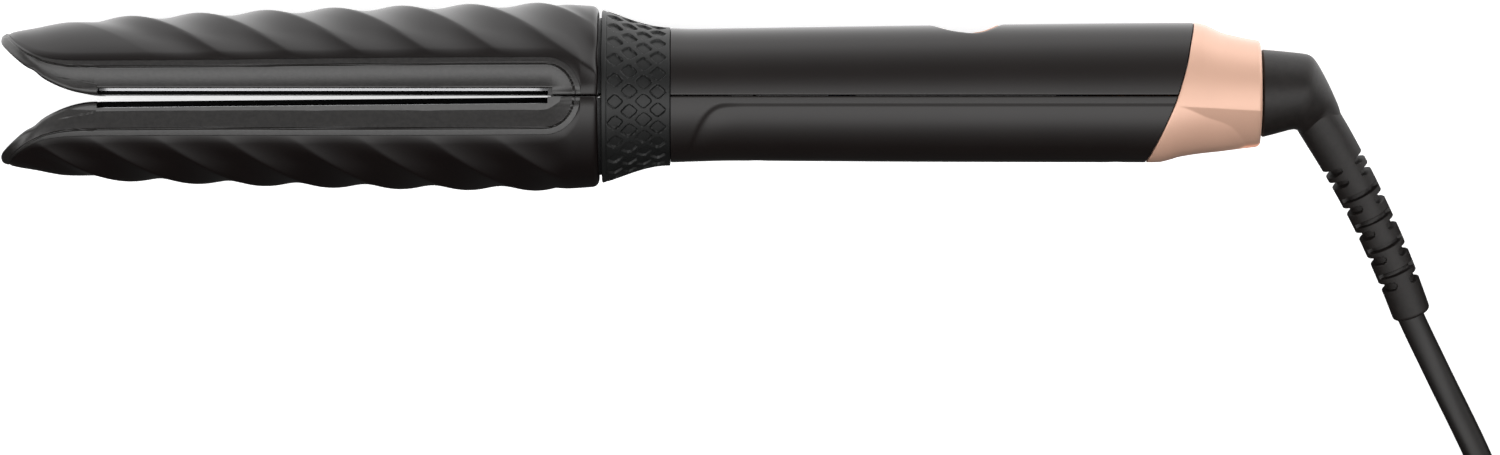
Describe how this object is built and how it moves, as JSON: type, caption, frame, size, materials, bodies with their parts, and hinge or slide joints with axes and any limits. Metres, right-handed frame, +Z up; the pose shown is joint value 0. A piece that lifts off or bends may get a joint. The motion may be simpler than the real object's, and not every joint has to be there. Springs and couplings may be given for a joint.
{
  "type": "hair curler straightener",
  "caption": "Hair styling iron whose spiral barrel opens like a bud on two heated plates by a twist collar, with a contoured handle, buttons, swivel cord and round-pin plug.",
  "frame": {"origin": "on the table under the middle of the iron without its cord, where the iron lies on its side", "axes": "+X from the barrel's tips to the cord, +Y across the seam to the upper jaw and the buttons, +Z up from the table"},
  "size_m": [0.3792, 0.2214, 0.0462],
  "materials": {
    "barrel_shell": "satin black coated shell with spiral ridges",
    "board": "green circuit board",
    "ceramic": "white ceramic",
    "collar_rubber": "soft black grip with recessed diamonds",
    "component": "black moulded component",
    "contact": "bright brass",
    "cord_rubber": "matt black cord rubber",
    "handle_plastic": "satin black handle",
    "jaw_body": "matt black heat-proof plastic",
    "key": "satin black key",
    "mains_wire": "brown insulated wire",
    "mount_plastic": "grey glass-filled plastic",
    "panel": "gloss black",
    "plate_metal": "polished coated aluminium",
    "plug_plastic": "matt black moulded plug",
    "rose_gold": "satin rose gold",
    "screw_steel": "bright steel",
    "silicone": "red silicone",
    "sleeve_plastic": "natural low-friction plastic",
    "wire": "white insulated wire"
  },
  "bodies": {
    "handle": {"upper_handle": "handle_plastic", "lower_handle": "handle_plastic", "jaw_mount": "mount_plastic", "jaw_pins": "screw_steel", "closing_springs": "screw_steel", "handle_screws": "screw_steel", "control_bezel": "rose_gold", "control_panel": "panel", "circuit_board": "board", "board_parts": "component", "button_switches": "component", "handle_wires": "wire", "mains_wires": "mains_wire", "end_cap": "rose_gold", "swivel_socket": "component", "swivel_contacts": "contact"},
    "twist_ring": {"collar_grip": "collar_rubber", "cam_ring": "mount_plastic"},
    "sleeve": {"opening_sleeve": "sleeve_plastic"},
    "upper_jaw": {"upper_barrel": "barrel_shell", "upper_carrier": "jaw_body", "upper_nose": "jaw_body", "upper_screws": "screw_steel"},
    "upper_hot_plate": {"upper_plate": "plate_metal", "upper_heater": "ceramic", "upper_heater_clip": "screw_steel", "upper_thermistor": "component", "upper_cushions": "silicone", "upper_leads": "wire"},
    "lower_jaw": {"lower_barrel": "barrel_shell", "lower_carrier": "jaw_body", "lower_nose": "jaw_body", "lower_screws": "screw_steel"},
    "lower_hot_plate": {"lower_plate": "plate_metal", "lower_heater": "ceramic", "lower_heater_clip": "screw_steel", "lower_thermistor": "component", "lower_cushions": "silicone", "lower_leads": "wire"},
    "power_key": {"power_button": "rose_gold"},
    "minus_key": {"minus_button": "key"},
    "plus_key": {"plus_button": "key"},
    "cord_swivel": {"swivel_core": "component", "slip_rings": "contact", "elbow": "cord_rubber", "strain_relief": "cord_rubber", "cord_run": "cord_rubber", "cord_coil": "cord_rubber", "cord_tie": "component", "plug_body": "plug_plastic", "plug_pins": "screw_steel"}
  },
  "joints": [
    {"name": "ring_twist", "type": "hinge", "parent": "handle", "child": "twist_ring", "pos_m": [-0.00022, 0, 0.02313], "axis": [1, 0, 0], "range_deg": [0, 60]},
    {"name": "sleeve_slide", "type": "slide", "parent": "handle", "child": "sleeve", "axis": [-1, 0, 0], "range_m": [0, 0.00101]},
    {"name": "upper_jaw_hinge", "type": "hinge", "parent": "handle", "child": "upper_jaw", "pos_m": [-0.01542, 0.016, 0.02313], "axis": [0, 0, -1], "range_deg": [0, 6.03]},
    {"name": "lower_jaw_hinge", "type": "hinge", "parent": "handle", "child": "lower_jaw", "pos_m": [-0.01542, -0.016, 0.02313], "axis": [0, 0, 1], "range_deg": [0, 6.03]},
    {"name": "upper_plate_float", "type": "slide", "parent": "upper_jaw", "child": "upper_hot_plate", "axis": [0, 1, 0], "range_m": [0, 0.0006], "stiffness_N_per_m": 3000, "springref_m": -0.001},
    {"name": "lower_plate_float", "type": "slide", "parent": "lower_jaw", "child": "lower_hot_plate", "axis": [0.0096, -1, 0], "range_m": [0, 0.0006], "stiffness_N_per_m": 3000, "springref_m": -0.001},
    {"name": "power_press", "type": "slide", "parent": "handle", "child": "power_key", "axis": [0, -1, 0], "range_m": [0, 0.00035], "stiffness_N_per_m": 2000, "springref_m": -0.0003},
    {"name": "minus_press", "type": "slide", "parent": "handle", "child": "minus_key", "axis": [0, -1, 0], "range_m": [0, 0.00035], "stiffness_N_per_m": 2000, "springref_m": -0.0003},
    {"name": "plus_press", "type": "slide", "parent": "handle", "child": "plus_key", "axis": [0, -1, 0], "range_m": [0, 0.00035], "stiffness_N_per_m": 2000, "springref_m": -0.0003},
    {"name": "cord_turn", "type": "hinge", "parent": "handle", "child": "cord_swivel", "pos_m": [0.14693, 0.00075, 0.02313], "axis": [1, 0, 0], "continuous": true}
  ],
  "couplings": [
    {"joint": "sleeve_slide", "follows": "ring_twist", "m_per_rad": 0.00095493},
    {"joint": "upper_jaw_hinge", "follows": "ring_twist", "ratio": 0.1},
    {"joint": "lower_jaw_hinge", "follows": "ring_twist", "ratio": 0.1}
  ]
}
